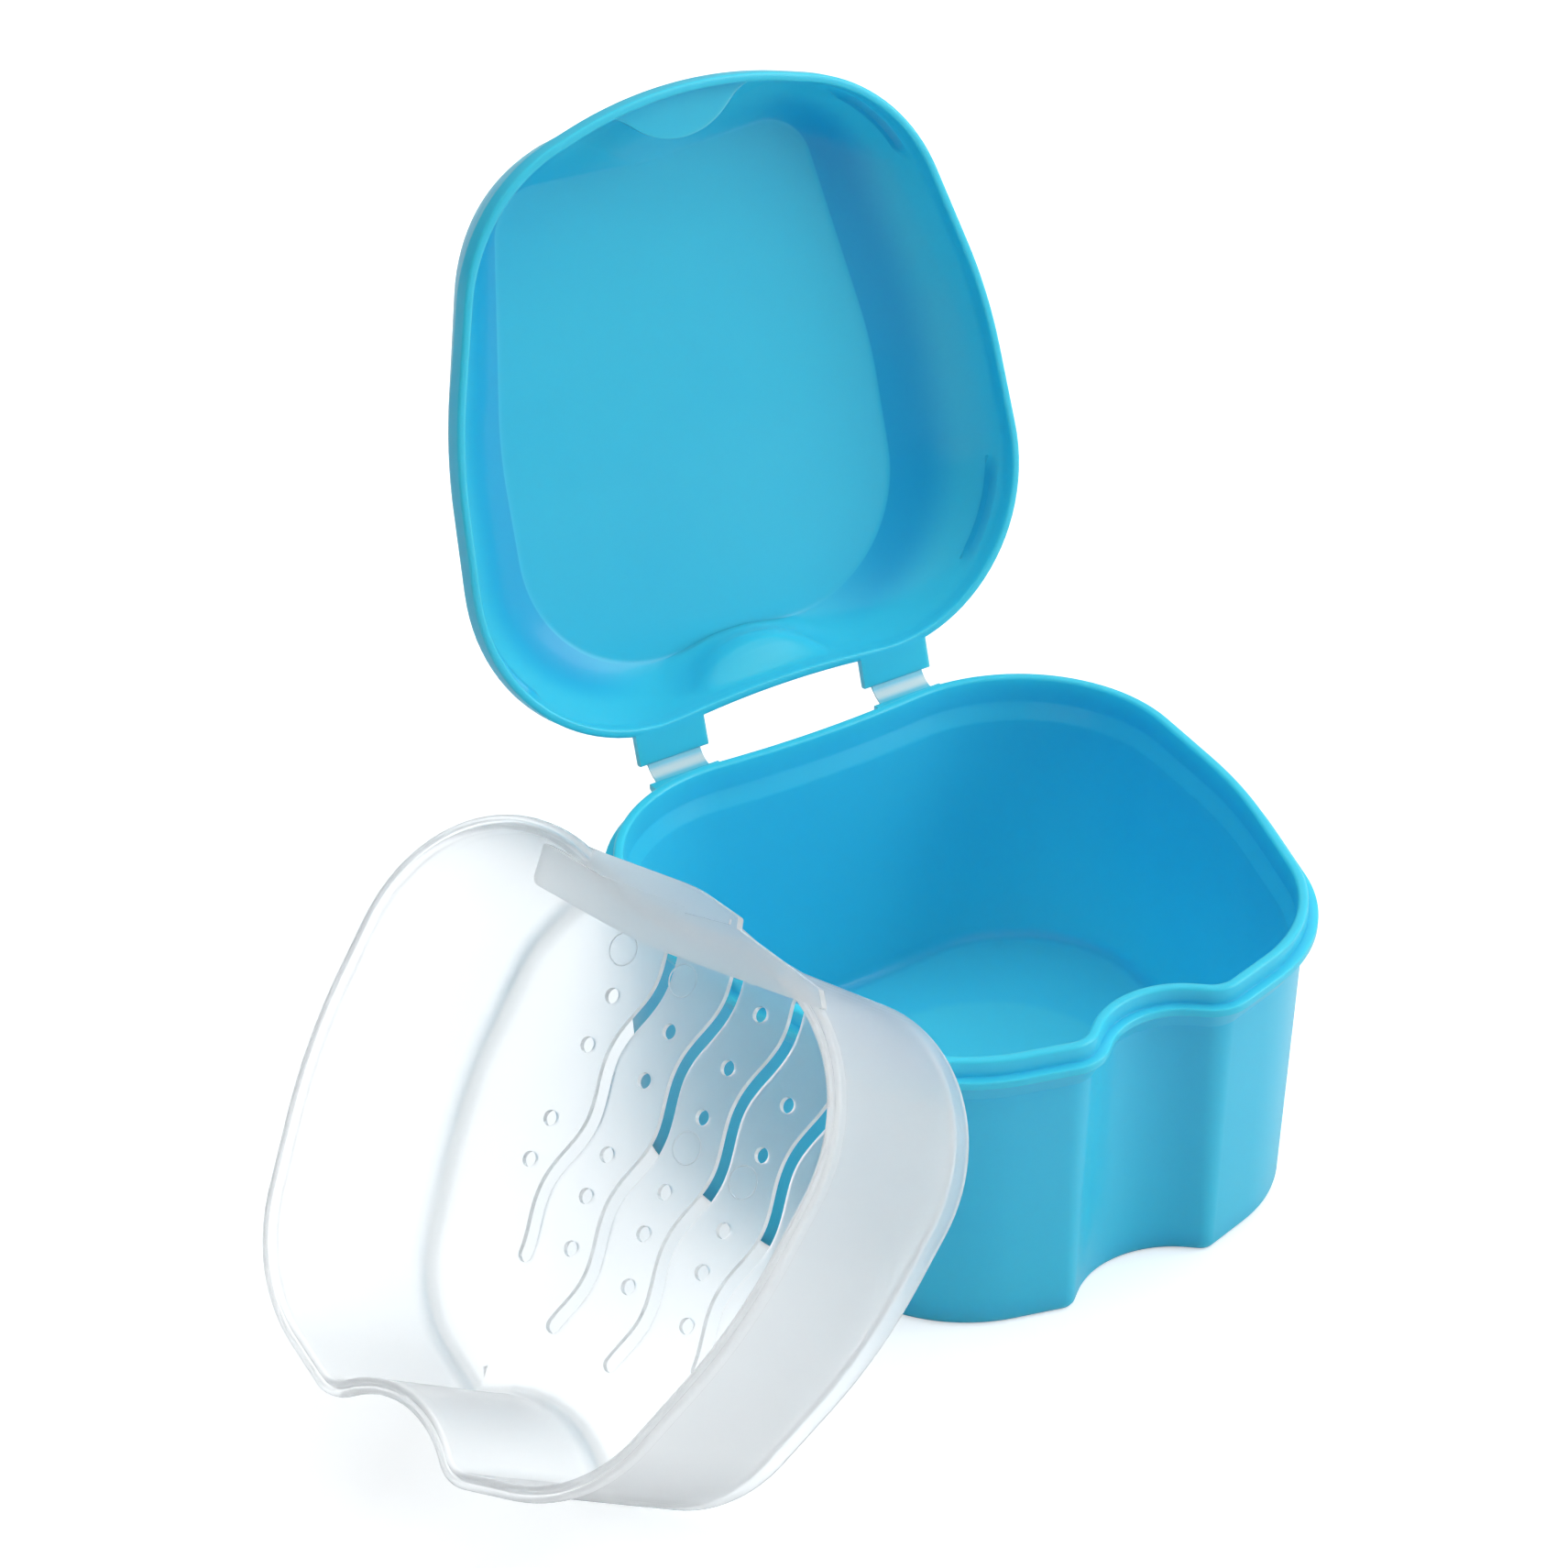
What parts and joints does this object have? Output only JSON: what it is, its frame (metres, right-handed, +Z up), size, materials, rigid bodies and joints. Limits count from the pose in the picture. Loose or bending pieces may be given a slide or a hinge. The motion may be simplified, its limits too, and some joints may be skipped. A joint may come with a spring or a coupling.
{
  "type": "denture case",
  "caption": "Denture case: a deep rounded box with a finger notch in its front, a domed lid that swings on two moulded straps, and a lift-out strainer basket with a slotted and drilled floor and a lift tab.",
  "frame": {"origin": "The middle of the box's flat underside, on the surface it stands on.", "axes": "+Z is up. -Y is the box's front with the finger notch, +Y its back with the hinge, +X its right seen from the front."},
  "size_m": [0.1677, 0.1615, 0.1409],
  "materials": {
    "blue_polypropylene": "glossy moulded polypropylene, sky blue and slightly translucent",
    "natural_polypropylene": "frosted natural polypropylene, milky and translucent"
  },
  "bodies": {
    "box": {"case_base": "blue_polypropylene", "hinge_web_left": "blue_polypropylene", "hinge_web_right": "blue_polypropylene"},
    "lid": {"lid": "blue_polypropylene"},
    "basket": {"basket": "natural_polypropylene"}
  },
  "joints": [
    {"name": "lid_hinge", "type": "hinge", "parent": "box", "child": "lid", "pos_m": [0, 0.05135, 0.04584], "axis": [1, 0, 0], "range_deg": [-60, 105], "deforming": ["hinge_web_left", "hinge_web_right"]},
    {"name": "basket_lift", "type": "slide", "parent": "box", "child": "basket", "axis": [0, 0, 1], "range_m": [0, 0.12]}
  ]
}
